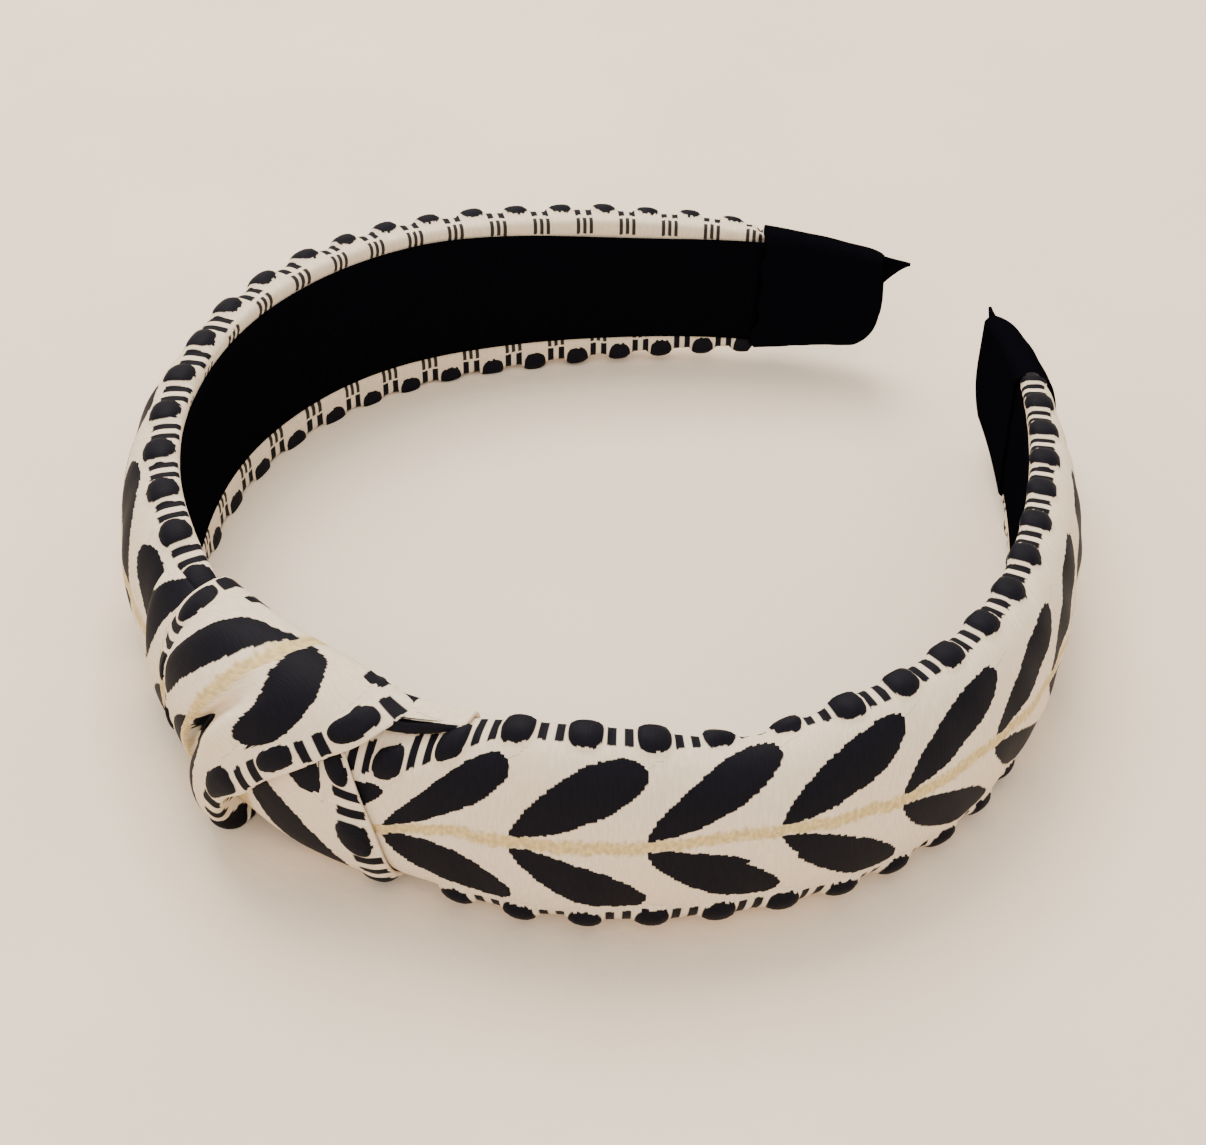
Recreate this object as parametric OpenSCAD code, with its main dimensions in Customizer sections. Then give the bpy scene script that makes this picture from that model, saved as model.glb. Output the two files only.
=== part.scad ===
// Knotted fabric headband: a springy C-shaped hoop core, padded on its outer side, covered with a
// woven ribbon whose edges fold over on to the inner face, lined, capped at both tips, and wrapped at
// the crown by a two-strand knot.
//
// Frame: the band lies on its lower edge. +Z is up, the knot faces -Y, the two tips point to +Y, and
// the hoop is symmetric about X = 0. The origin is at the middle of the underside of its box.

/* [Hoop] */
// Inner radius at the crown
crown_radius = 64.5; // [60:0.5:70]
// Angle that the crown arc turns on each side
crown_angle = 61.7; // [58:0.1:65]
// Inner radius at the sides of the head
side_radius = 51.4; // [48:0.2:56]
// Angle that the side arc turns
side_angle = 53.6; // [50:0.2:56]
// Inner radius of the long legs that reach to the tips
leg_radius = 127.5; // [110:0.5:150]
// Angle that each leg turns
leg_angle = 32.3; // [28:0.1:33]

/* [Band] */
// Height of the band at the crown and sides
band_height = 30.5; // [28:0.5:34]
// Height of the band at its tips
tip_height = 18; // [16:0.5:22]
// Thickness at mid-height, from the lining to the crest of the padding
band_thick = 9.9; // [8:0.1:11]
// Thickness at the tips
tip_thick = 7; // [6:0.1:8]
// Thickness of the band's upper and lower edges
edge_thick = 2.2; // [1.8:0.1:2.6]
// Share of each side's length where the taper begins
taper_start = 0.485; // [0.4:0.005:0.6]

/* [Layers] */
// Width of the plastic core strip
core_width = 24; // [20:0.5:25]
// Thickness of the core strip
core_thick = 1.5; // [1.2:0.1:1.8]
// Thickness of the woven cover
cover_wall = 0.8; // [0.6:0.05:0.9]
// Width of the lining ribbon
lining_width = 19.5; // [16:0.5:20]
// Thickness of the lining ribbon
lining_thick = 0.5; // [0.3:0.05:0.6]
// Length of each end cap
cap_length = 22; // [16:1:28]
// Thickness of the cap ribbon
cap_wall = 0.5; // [0.4:0.05:0.6]
// Length of the folded ribbon corner at each cap
corner_length = 4; // [3:0.5:5]

/* [Knot] */
// How far the band is drawn in at each edge under the knot
waist_draw = 2.2; // [2:0.1:2.4]
// Arc length from the crown to the knot's middle
knot_at = 8; // [6:0.5:9]
// Half length of the drawn-in stretch
waist_half = 18; // [17:0.5:19]
// Length over which the band widens again beside the knot
waist_run = 16; // [12:1:18]
// Thickness of the gathered strands next to the band
strand_thick = 1.8; // [1.4:0.1:2]
// Thickness of the over wrap at its crest
wrap_thick = 2.8; // [2.4:0.1:3.6]

/* [Flex] */
// Arc length from the crown to the line where each arm flexes
flex_at = 34; // [33:0.5:38]
// Clear gap between the crown's parts and an arm's parts
flex_gap = 1.2; // [1:0.1:1.6]

/* [Hidden] */

fit_gap = 0.05;
layer_gap = 0.15;
strand_gap = 0.3;
arc_faces = 200;
face_steps = 15;
ring_step = 6;
knot_rows = 10;

mid_z = band_height / 2;
len_crown = crown_radius * crown_angle * PI / 180;
len_side = side_radius * side_angle * PI / 180;
len_leg = leg_radius * leg_angle * PI / 180;
side_len = len_crown + len_side + len_leg;
taper_s = taper_start * side_len;
cap_s = side_len - cap_length;
strand_edge = strand_gap + 0.8;
crown_end = flex_at - flex_gap / 2;
arm_start = flex_at + flex_gap / 2;

// Centres of the three arcs of the right side, with the crown's inner point at the plan's origin
side_centre = [0, crown_radius] + (crown_radius - side_radius) * outward(crown_angle);
leg_centre = side_centre + (side_radius - leg_radius) * outward(crown_angle + side_angle);

// The knot's crest and the furthest point of the tips set the middle of the box
knot_front = band_thick + strand_thick + wrap_thick + 2 * strand_gap;
tip_reach = max([for (i = [0:40]) let (s = side_len - i / 5) plan_point(s, thick(s))[1]]);
crown_y = (knot_front - tip_reach) / 2;

// Unit vector that points out of the hoop where its tangent has turned by angle a from +X
function outward(a) = [sin(a), -cos(a)];

// Tangent angle at arc length s from the crown
function turn_at(s) =
  s <= len_crown ? s / crown_radius * 180 / PI :
  s <= len_crown + len_side ? crown_angle + (s - len_crown) / side_radius * 180 / PI :
  crown_angle + side_angle + (s - len_crown - len_side) / leg_radius * 180 / PI;

// Point of the right side in plan at arc length s and r outside the lining's face
function plan_point(s, r) =
  s <= len_crown ? [0, crown_radius] + (crown_radius + r) * outward(turn_at(s)) :
  s <= len_crown + len_side ? side_centre + (side_radius + r) * outward(turn_at(s)) :
  leg_centre + (leg_radius + r) * outward(turn_at(s));

// Point of the hoop at signed arc length s, at height z from the band's middle plane
function hoop_point(s, r, z) =
  let (p = plan_point(abs(s), r)) [s < 0 ? -p[0] : p[0], p[1] + crown_y, z + mid_z];

function taper(s) = pow(max(0, (abs(s) - taper_s) / (side_len - taper_s)), 2);
function smooth(x) = let (c = min(1, max(0, x))) c * c * (3 - 2 * c);

// The last stretch of each tip rounds off
function tip_round(s) = sqrt(1 - pow(max(0, (abs(s) - side_len + 8) / 8.6), 2));

// Half height of the band at signed arc length s, drawn in under the knot. The lengths of the left
// arm are drawn on the right with side = -1, and then mirrored.
function half_height(s) =
  (mid_z + (tip_height / 2 - mid_z) * taper(s)) * (0.5 + 0.5 * tip_round(s))
  - waist_draw * (1 - smooth((abs(s - knot_at) - waist_half) / waist_run));

// Thickness of the band at arc length s
function thick(s) =
  edge_thick + (band_thick - edge_thick + (tip_thick - band_thick) * taper(s)) * tip_round(s);

// Outline [r, z] of the padded outer side, from its lower edge to its upper edge. A limit under 90
// degrees stops it short of both edges.
function crest(h, t, e, limit = 90) =
  [for (i = [0:face_steps]) let (u = limit * (2 * i / face_steps - 1))
    [e + (t - e) * pow(cos(u), 0.9), h * sin(u)]];

// Closed outline of the solid band, set in by d from the band's own surface
function band_outline(h, t, d) = concat(
  [[d, -h + d + 0.8], [d + 0.5, -h + d]],
  crest(h - d, t - d, edge_thick),
  [[d + 0.5, h - d], [d, h - d - 0.8]]
);

// Closed C-shaped outline of the cover: outer side, rolled edges and two hems, open behind the lining
function cover_outline(h, t, d) =
  let (
    w = cover_wall,
    hem = min(lining_width / 2 + fit_gap, h - d - w - 0.6),
    inner = band_outline(h, t, d + w),
    n = len(inner)
  ) concat(
    [[d, -hem]], band_outline(h, t, d), [[d, hem], [d + w, hem]],
    [for (i = [n - 1:-1:0]) inner[i]], [[d + w, -hem]]
  );

// Closed outline of the foam, a crowned strip on the core's outer side
function foam_outline(h, t, d) =
  let (back = d + cover_wall + layer_gap, front = crest(h - back, t - back - fit_gap, edge_thick, 80)) concat(
    [[back + core_thick + layer_gap, front[0][1]]], front,
    [[back + core_thick + layer_gap, front[face_steps][1]]]
  );

function lining_half(s) = min(lining_width / 2, half_height(s) - cover_wall - 0.65);
function core_half(h) = min(core_width / 2, h - cover_wall - 1.3);

// How far the cover, foam and core are set in under an end cap
function cap_inset(s) = abs(s) > cap_s - 0.5 ? cap_wall + layer_gap : 0;

// Evenly spaced arc lengths between two ends
function places(from, to) =
  let (n = ceil((to - from) / ring_step)) [for (i = [0:n]) from + (to - from) * i / n];

// The same for a piece that is set in where the end cap begins
function arm_places(to) = concat(places(arm_start, cap_s - 1), places(cap_s, to));

// A closed solid through rings of points. Every ring has the same even count, and at the two ends
// its first half is joined across to its second half.
module skin(rings) {
  n = len(rings[0]);
  last = (len(rings) - 1) * n;
  points = [for (ring = rings) each ring];
  sides = [for (i = [0:n:last - n]) for (j = [0:n - 1]) let (k = (j + 1) % n)
    each [[i + j, i + n + k, i + n + j], [i + j, i + k, i + n + k]]];
  ends = [for (j = [0:n / 2 - 2]) let (a = j, b = j + 1, c = n - 2 - j, d = n - 1 - j)
    each [[a, c, b], [a, d, c], [last + a, last + b, last + c], [last + a, last + c, last + d]]];
  polyhedron(points = points, faces = concat(sides, ends), convexity = 10);
}

module left() {
  mirror([1, 0, 0]) children();
}

// Part of a turned ring about the crown arc's centre, between two angles from the crown
module crown_arc(from, to) {
  translate([0, crown_y + crown_radius, mid_z])
    rotate([0, 0, from - 90])
      rotate_extrude(angle = to - from, $fn = arc_faces) children();
}

function ring_of(s, outline) = [for (p = outline) hoop_point(s, p[0], p[1])];

core_places = arm_places(side_len - 5);
foam_places = arm_places(side_len - 4.5);
cover_places = arm_places(side_len - 4);
root_places = places(layer_gap, crown_end);
lining_places = places(arm_start, cap_s - layer_gap);

// --- Core: one flat plastic strip, in three lengths that flex against each other ---

module core_section(half) {
  translate([crown_radius + cover_wall + layer_gap, -half]) square([core_thick, 2 * half]);
}

module core_crown() {
  half_turn = turn_at(crown_end);
  color("ivory") crown_arc(-half_turn, half_turn)
    core_section(core_half(mid_z - waist_draw));
}

module core_length(rings, side) {
  color("ivory") skin([for (s = rings) let (
    b = cover_wall + layer_gap + cap_inset(s),
    c = core_half(half_height(side * s) - cap_inset(s))
  ) ring_of(s, [[b, -c], [b + core_thick, -c], [b + core_thick, c], [b, c]])]);
}

// --- Foam padding ---

module foam_length(rings, side = 1) {
  color("whitesmoke") skin([for (s = rings)
    ring_of(s, foam_outline(half_height(side * s), thick(s), cap_inset(s)))]);
}

// --- Woven cover, with its edges folded over on to the inner face ---

module cover_length(rings, side) {
  color("antiquewhite") skin([for (s = rings)
    ring_of(s, cover_outline(half_height(side * s), thick(s), cap_inset(s)))]);
}

// --- Lining ribbon on the inner face, between the hems ---

module lining_crown() {
  half_turn = turn_at(crown_end);
  color("black") crown_arc(-half_turn, half_turn)
    translate([crown_radius, -lining_half(0)]) square([lining_thick, 2 * lining_half(0)]);
}

module lining_length(rings) {
  color("black") skin([for (s = rings) let (c = lining_half(s))
    ring_of(s, [[0, -c], [lining_thick, -c], [lining_thick, c], [0, c]])]);
}

// --- Knot: strands of the two covers, drawn round the band and over each other ---

// Across a strand it is thin at its two edges and full in the middle
function swell(b) = 0.3 + 0.7 * sqrt(1 - pow(abs(2 * b - 1), 3));

// One strand laid over the band. low and high are its two ends' arc lengths [left, right] at the
// band's lower and upper edge, and bow bends its right side between them. under and over are how far
// its two faces stand off the band, [edge, crest].
module strand(low, high, under, over, bow = 1, first = 0) {
  skin([for (row = [0:knot_rows]) let (
    b = row / knot_rows,
    full = swell(b),
    top = [for (i = [0:1]) under[i] + (over[i] - under[i]) * full]
  ) concat(
    strand_side(low, high, bow, b, top, [first:face_steps]),
    strand_side(low, high, bow, b, under, [face_steps:-1:first])
  )]);
}

// The points of one face of a strand, along the band's outline
function strand_side(low, high, bow, b, off, steps) =
  [for (i = steps) let (
    a = i / face_steps,
    left_s = low[0] + (high[0] - low[0]) * a,
    right_s = low[1] + (high[1] - low[1]) * pow(a, bow),
    s = left_s + (right_s - left_s) * b,
    p = crest(half_height(s) + off[0], thick(s) + off[1], edge_thick)[i]
  ) hoop_point(s, p[0], p[1])];

module knot_under_strand() {
  color("antiquewhite") strand(
    [1.2, 26.5], [3.2, 20.5], [strand_gap, strand_gap],
    [strand_edge, strand_gap + strand_thick]);
}

module knot_left_gather() {
  color("antiquewhite") strand(
    [-14, 0.7], [-12, 2.7], [strand_gap, strand_gap],
    [strand_edge, strand_gap + strand_thick]);
}

module knot_over_wrap() {
  color("antiquewhite") strand(
    [-10, 6], [-9.5, 26], [strand_edge + strand_gap, 2 * strand_gap + strand_thick],
    [waist_draw - fit_gap, knot_front - band_thick], bow = 1.8);
}

module knot_top_fold() {
  color("antiquewhite") strand(
    [27, 32.5], [27, 32.5], [strand_gap, strand_gap], [0.9, 1.1], first = face_steps - 3);
}

// --- End caps: a ribbon wrapped round each tip, with a folded corner left standing ---

module cap() {
  last = side_len - fit_gap;
  color("black") difference() {
    skin([for (s = concat(places(cap_s, side_len - 8), places(side_len - 7, last)))
      ring_of(s, band_outline(half_height(s), thick(s), 0))]);
    skin([for (s = concat([cap_s - 1], places(cap_s, side_len - 8), [side_len - 4, last - 1.5]))
      ring_of(s, band_outline(half_height(s), thick(s), cap_wall))]);
  }
}

module cap_corner() {
  foot = hoop_point(side_len, 0.3, 0);
  color("black") translate(foot) rotate([90, 0, turn_at(side_len)])
    linear_extrude(0.8) polygon([[0, 1.5], [corner_length, 6.4], [0, 5.6]]);
}

core_crown();
core_length(core_places, 1);  // core_right
left() core_length(core_places, -1);  // core_left
foam_length(places(-crown_end, crown_end));  // foam_crown
foam_length(foam_places);  // foam_right
left() foam_length(foam_places, -1);  // foam_left
cover_length(root_places, 1);  // cover_root_right
left() cover_length(root_places, -1);  // cover_root_left
cover_length(cover_places, 1);  // cover_right
left() cover_length(cover_places, -1);  // cover_left
lining_crown();
lining_length(lining_places);  // lining_right
left() lining_length(lining_places);  // lining_left
knot_under_strand();
knot_left_gather();
knot_over_wrap();
knot_top_fold();
cap();  // cap_right
left() cap();  // cap_left
cap_corner();  // cap_corner_right
left() cap_corner();  // cap_corner_left
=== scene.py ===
"""Dresses the knotted headband's frame: woven leaf covers, padding, lining, capped tips and the knot."""
import math

import bmesh
import bpy
import numpy as np
from bpy.props import FloatProperty, FloatVectorProperty, PointerProperty
from bpy.types import Operator, Panel, PropertyGroup
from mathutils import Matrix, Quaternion, Vector


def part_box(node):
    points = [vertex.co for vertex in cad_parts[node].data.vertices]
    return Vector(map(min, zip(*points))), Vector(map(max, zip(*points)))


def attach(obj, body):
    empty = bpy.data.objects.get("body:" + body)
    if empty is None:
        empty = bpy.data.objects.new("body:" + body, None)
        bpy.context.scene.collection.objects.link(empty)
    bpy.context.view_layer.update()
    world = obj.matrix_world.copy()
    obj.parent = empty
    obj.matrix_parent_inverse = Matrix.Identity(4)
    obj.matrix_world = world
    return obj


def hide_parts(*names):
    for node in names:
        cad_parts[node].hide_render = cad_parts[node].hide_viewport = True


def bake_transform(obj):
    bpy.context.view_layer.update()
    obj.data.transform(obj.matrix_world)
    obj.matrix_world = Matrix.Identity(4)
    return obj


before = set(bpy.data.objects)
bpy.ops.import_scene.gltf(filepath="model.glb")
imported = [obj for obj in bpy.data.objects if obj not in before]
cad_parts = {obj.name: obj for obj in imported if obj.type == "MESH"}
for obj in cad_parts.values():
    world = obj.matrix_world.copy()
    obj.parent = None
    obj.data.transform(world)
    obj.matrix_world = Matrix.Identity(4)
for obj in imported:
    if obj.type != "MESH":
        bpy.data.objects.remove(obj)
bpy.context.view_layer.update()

bl_info = {
    "name": "Knotted Headband",
    "version": (1, 0, 0),
    "blender": (4, 5, 0),
    "location": "3D View > Sidebar > Headband",
    "description": "Makes a padded, woven and knotted headband round its packed core",
    "category": "Object",
}

MM = 0.001

# The hoop, as its core was designed, in millimetres
CROWN_RADIUS, SIDE_RADIUS, LEG_RADIUS = 64.5, 51.4, 127.5
CROWN_TURN, SIDE_TURN, LEG_TURN = (math.radians(a) for a in (61.7, 53.6, 32.3))
CROWN_LEN = CROWN_RADIUS * CROWN_TURN
SIDE_LEN = CROWN_LEN + SIDE_RADIUS * SIDE_TURN
ARM_LEN = SIDE_LEN + LEG_RADIUS * LEG_TURN
MID_Z = 15.25
TIP_HALF = 9.0
BAND_THICK, TIP_THICK, EDGE_THICK = 9.9, 7.0, 2.2
TAPER_FROM = 0.485 * ARM_LEN
WAIST_DRAW, WAIST_MIDDLE, WAIST_HALF, WAIST_RUN = 2.2, 8.0, 18.0, 16.0
LINING_HALF = 9.75
CAP_FROM = ARM_LEN - 22
CROWN_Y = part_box("lining_crown")[0].y / MM + 0.5

# Where each arm's flex beside the knot starts and stops, as arc lengths
FLEX_FROM, FLEX_TO = 24.0, 56.0

# Half the woven pattern's width, from the vein to the inner side of its border
FIELD_HALF = 12.9

# The pattern as it is drawn: one leaf repeat along the ribbon, with two dots, the first one's middle,
# and the border's middle across
LEAF_PITCH = 17.1
FIRST_DOT = 1.35
DOT_MIDDLE = 15.15


def outward(turn):
    """The way out of the hoop after a turn from the crown, seen from above."""
    return np.array([np.sin(turn), -np.cos(turn)])


SIDE_CENTRE = np.array([0, CROWN_RADIUS]) + (CROWN_RADIUS - SIDE_RADIUS) * outward(CROWN_TURN)
LEG_CENTRE = SIDE_CENTRE + (SIDE_RADIUS - LEG_RADIUS) * outward(CROWN_TURN + SIDE_TURN)


def smooth(x):
    """0 below 0 and 1 above 1, with no corner between."""
    c = np.clip(x, 0, 1)
    return c * c * (3 - 2 * c)


def bump(x, middle, reach):
    """One soft hump, 1 at its middle and 0 a reach away."""
    return smooth(1 - np.abs(x - middle) / reach)


def hoop(s, r, z):
    """Points in millimetres: s is the arc length from the crown, positive to the right, r the distance
    out from the lining and z the height over the middle."""
    s, r, z = np.broadcast_arrays(np.asarray(s, float), r, z)
    a = np.abs(s)
    on_crown, on_side = a <= CROWN_LEN, a <= SIDE_LEN
    turn = np.where(
        on_crown,
        a / CROWN_RADIUS,
        np.where(
            on_side,
            CROWN_TURN + (a - CROWN_LEN) / SIDE_RADIUS,
            CROWN_TURN + SIDE_TURN + (a - SIDE_LEN) / LEG_RADIUS,
        ),
    )
    radius = np.where(on_crown, CROWN_RADIUS, np.where(on_side, SIDE_RADIUS, LEG_RADIUS)) + r
    cx = np.where(on_crown, 0, np.where(on_side, SIDE_CENTRE[0], LEG_CENTRE[0]))
    cy = np.where(on_crown, CROWN_RADIUS, np.where(on_side, SIDE_CENTRE[1], LEG_CENTRE[1]))
    x = cx + radius * np.sin(turn)
    y = cy - radius * np.cos(turn)
    return np.stack([np.where(s < 0, -x, x), y + CROWN_Y, z + MID_Z], -1)


def taper(s):
    """0 over the front half of each side, growing to 1 at its tip."""
    return np.maximum(0, (np.abs(s) - TAPER_FROM) / (ARM_LEN - TAPER_FROM)) ** 2


def half_height(s):
    """Half the band's height. The knot draws it in round the crown."""
    drawn = 1 - smooth((np.abs(s - WAIST_MIDDLE) - WAIST_HALF) / WAIST_RUN)
    return MID_Z + (TIP_HALF - MID_Z) * taper(s) - WAIST_DRAW * drawn


def thickness(s):
    """The band's thickness. Its padding thins out before the caps."""
    tapered = BAND_THICK + (TIP_THICK - BAND_THICK) * taper(s)
    return tapered - 1.7 * smooth((np.abs(s) - 138) / 30)


def edge_dip(s):
    """How far the soft upper edge of the right side stands over its designed height, or under it."""
    return -2.5 * bump(s, 69, 15) + 0.5 * bump(s, 48, 12)


def side_path(h, t, lining):
    """Half of the band's girth for each height, thickness and lining half-width: the lengths from
    mid-front, and r and z there, over the front, round the edge and down the inner face to its middle."""
    h, t, lining = (np.asarray(v, float)[..., None] for v in (h, t, lining))
    corner, back = 0.9, 0.12
    u = np.linspace(0, np.pi / 2, 50)
    a = np.linspace(0, np.pi / 2, 9)[1:]
    down = (h - corner) * np.linspace(1, 0, 40)[1:]
    wall = np.linspace(EDGE_THICK, back + corner, 5)[1:]
    r = EDGE_THICK + (t - EDGE_THICK) * np.cos(u) ** 0.9
    r = np.concatenate(
        [r, 0 * h + wall, 0 * h + back + corner * (1 - np.sin(a)),
         back + 0.36 * smooth((lining + 0.9 - down) / 0.9)], -1)
    z = np.concatenate([h * np.sin(u), h + 0 * wall, h - corner * (1 - np.cos(a)), down], -1)
    w = np.cumsum(np.hypot(np.diff(r, axis=-1), np.diff(z, axis=-1)), -1)
    return np.concatenate([0 * h, w], -1), r, z, w[..., 48]


def girth_point(s, w, lift=0.0):
    """Points at arc length s and girth w from mid-front, up positive, lifted off the band's surface
    along its normal. Also gives the half-girth of the front at each point."""
    s, w, lift = np.broadcast_arrays(np.asarray(s, float), w, lift)
    shape = s.shape
    s, w, lift = s.ravel(), w.ravel(), lift.ravel()
    height = half_height(s) + np.where(w > 0, edge_dip(s), 0)
    lining = np.where(w > 0, lining_top(s), lining_half(s))
    ww, rr, zz, front = side_path(height, thickness(s), lining)
    row = np.arange(len(s))

    def at(along):
        a = np.abs(along)
        i = np.clip((ww < a[:, None]).sum(1), 1, ww.shape[1] - 1)
        share = (a - ww[row, i - 1]) / (ww[row, i] - ww[row, i - 1])
        r = rr[row, i - 1] + share * (rr[row, i] - rr[row, i - 1])
        z = zz[row, i - 1] + share * (zz[row, i] - zz[row, i - 1])
        return r, z * np.where(along < 0, -1, 1)

    r, z = at(w)
    (r1, z1), (r2, z2) = at(w - 0.5), at(w + 0.5)
    away = np.hypot(z2 - z1, r1 - r2) + 1e-9
    points = hoop(s, r + lift * (z2 - z1) / away, z + lift * (r1 - r2) / away)
    points[:, 2] = np.maximum(points[:, 2], 0.05)  # pressed flat where it rests on the floor
    return points.reshape(shape + (3,)), front.reshape(shape)


def lining_half(s):
    """Half the lining's width."""
    return np.minimum(LINING_HALF, half_height(s) - 1.45)


def lining_top(s):
    """The lining is glued a little nearer the band's upper edge than its lower one."""
    wide = lining_half(s) + 3.0 * (1 - smooth((np.abs(s) - 110) / 45))
    return np.minimum(wide, half_height(s) + np.minimum(0, edge_dip(s)) - 1.3)


def spline(knots, values, at):
    """A smooth curve through control values: Catmull-Rom on uneven knots, for any trailing shape."""
    knots, values = np.asarray(knots, float), np.asarray(values, float)
    slopes = np.gradient(values, knots, axis=0)
    i = np.clip(np.searchsorted(knots, at, side="right") - 1, 0, len(knots) - 2)
    h = knots[i + 1] - knots[i]
    t = (at - knots[i]) / h
    shape = (-1,) + (1,) * (values.ndim - 1)
    t, h = t.reshape(shape), h.reshape(shape)
    a = (2 * t**3 - 3 * t**2 + 1) * values[i] + (t**3 - 2 * t**2 + t) * h * slopes[i]
    b = (-2 * t**3 + 3 * t**2) * values[i + 1] + (t**3 - t**2) * h * slopes[i + 1]
    return a + b


# --- Meshes ---


def finish_mesh(name, bm, material):
    mesh = bpy.data.meshes.new(name)
    bm.to_mesh(mesh)
    bm.free()
    mesh.polygons.foreach_set("use_smooth", [True] * len(mesh.polygons))
    piece = bpy.data.objects.new(name, mesh)
    bpy.context.scene.collection.objects.link(piece)
    mesh.materials.append(material)
    return piece


def grid_piece(name, points, material, weave, facing, wall):
    """A cloth of one grid of points in millimetres, with its (along, across) thread lengths as UVs.

    Its right side looks mostly towards facing, and its wall lies under that side."""
    rows, cols = points.shape[:2]
    bm = bmesh.new()
    bmesh.ops.create_grid(bm, x_segments=rows - 1, y_segments=cols - 1, size=0.5)
    place = {}
    for v in bm.verts:
        i, j = round((v.co.x + 0.5) * (rows - 1)), round((v.co.y + 0.5) * (cols - 1))
        place[v] = (i, j)
        v.co = Vector(points[i, j]) * MM
    layer = bm.loops.layers.uv.new("weave")
    for face in bm.faces:
        for loop in face.loops:
            loop[layer].uv = weave[place[loop.vert]]
    bm.normal_update()
    total = sum((face.normal * face.calc_area() for face in bm.faces), Vector())
    if total.dot(Vector(facing)) < 0:
        bmesh.ops.reverse_faces(bm, faces=bm.faces[:])
    piece = finish_mesh(name, bm, material)
    solid = piece.modifiers.new("wall", "SOLIDIFY")
    solid.thickness = wall * MM
    solid.offset = -1
    solid.use_even_offset = False
    solid.use_rim = True
    return piece


def tube_piece(name, rings, material, weave=None):
    """A closed body through rings of points in millimetres, its two ends filled."""
    rows, cols = rings.shape[:2]
    bm = bmesh.new()
    bmesh.ops.create_grid(bm, x_segments=rows - 1, y_segments=cols, size=0.5)
    place = {}
    for v in bm.verts:
        i, j = round((v.co.x + 0.5) * (rows - 1)), round((v.co.y + 0.5) * cols)
        place[v] = (i, j)
        v.co = Vector(rings[i, j % cols]) * MM
    if weave is not None:
        layer = bm.loops.layers.uv.new("weave")
        for face in bm.faces:
            for loop in face.loops:
                i, j = place[loop.vert]
                loop[layer].uv = weave[i, j % cols] if j < cols else 2 * weave[i, -1] - weave[i, -2]
    bmesh.ops.remove_doubles(bm, verts=bm.verts[:], dist=0.00002)
    bmesh.ops.holes_fill(bm, edges=[e for e in bm.edges if e.is_boundary], sides=0)
    bmesh.ops.recalc_face_normals(bm, faces=bm.faces[:])
    return finish_mesh(name, bm, material)


def flex_points(side):
    """The two points beside the knot between which a side's flex lies."""
    sign = 1 if side == "right" else -1
    return [tuple(hoop(sign * s, 5.0, -MID_Z) * MM) for s in (FLEX_FROM, FLEX_TO)]


def bend_with_arm(piece, side):
    start, end = flex_points(side)
    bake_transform(piece)


# --- Woven pattern ---


def vein_height(s):
    """How far over mid-front the vein of the cover runs."""
    right = 3.3 + 1.2 * bump(s, 66, 22) - 3.3 * smooth((s - 96) / 40) - 5.0 * (1 - smooth((s - 20) / 16))
    left = 2.6 - 2.6 * smooth((-s - 90) / 40)
    return np.where(s > 0, right, left)


def border_start(s, front):
    """Girth at which the upper border begins: lower on the front beside the knot and near the tips."""
    right = front - 2.1 - 8.0 * (1 - smooth((s - 22) / 19)) + 2.9 * bump(s, 70, 13)
    return np.where(s > 0, right, front - 5.0 + 2.0 * (1 - smooth((-s - 60) / 25)))


def across_thread(s, w, front):
    """The weave's across length at girth w: the border keeps its size at the edges of the band."""
    vein = vein_height(s)
    start = border_start(s, front)
    leaf_end = start - 2.2 * smooth((s - 84) / 26)
    low = np.where(s > 0, 2 * vein - (front - 2.1), 0.6 - front)
    share = np.minimum(0.975, (w - vein) / (leaf_end - vein))
    upper = FIELD_HALF * np.where(w < start, share, 1) + np.maximum(0, w - start)
    past = low - 5.3
    hem = np.minimum(-(front + 3.9), past)
    lower = np.where(w > low, (w - vein) * FIELD_HALF / (vein - low), w - low - FIELD_HALF)
    lower = np.where(w < past, -18.2 - 0.7 * np.clip((past - w) / (past - hem + 0.01), 0, 1), lower)
    lower = np.where(w < hem, -18.9 - (hem - w), lower)
    return np.where(w > vein, upper, lower)


def dot_raise(p, q, sizes):
    """Height of the border's rounded dots over the cloth, from 0 to 1."""
    pitch = sizes.leaf_pitch / MM / 2
    along = ((p - FIRST_DOT) / pitch + 0.5) % 1 - 0.5
    a = np.abs(along * pitch) / 2.5
    b = np.abs(np.abs(q) - DOT_MIDDLE - 0.05) / 2.3
    return np.sqrt(np.maximum(0, 1 - a**2.4 - b**2.4))


# --- Materials ---


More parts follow.
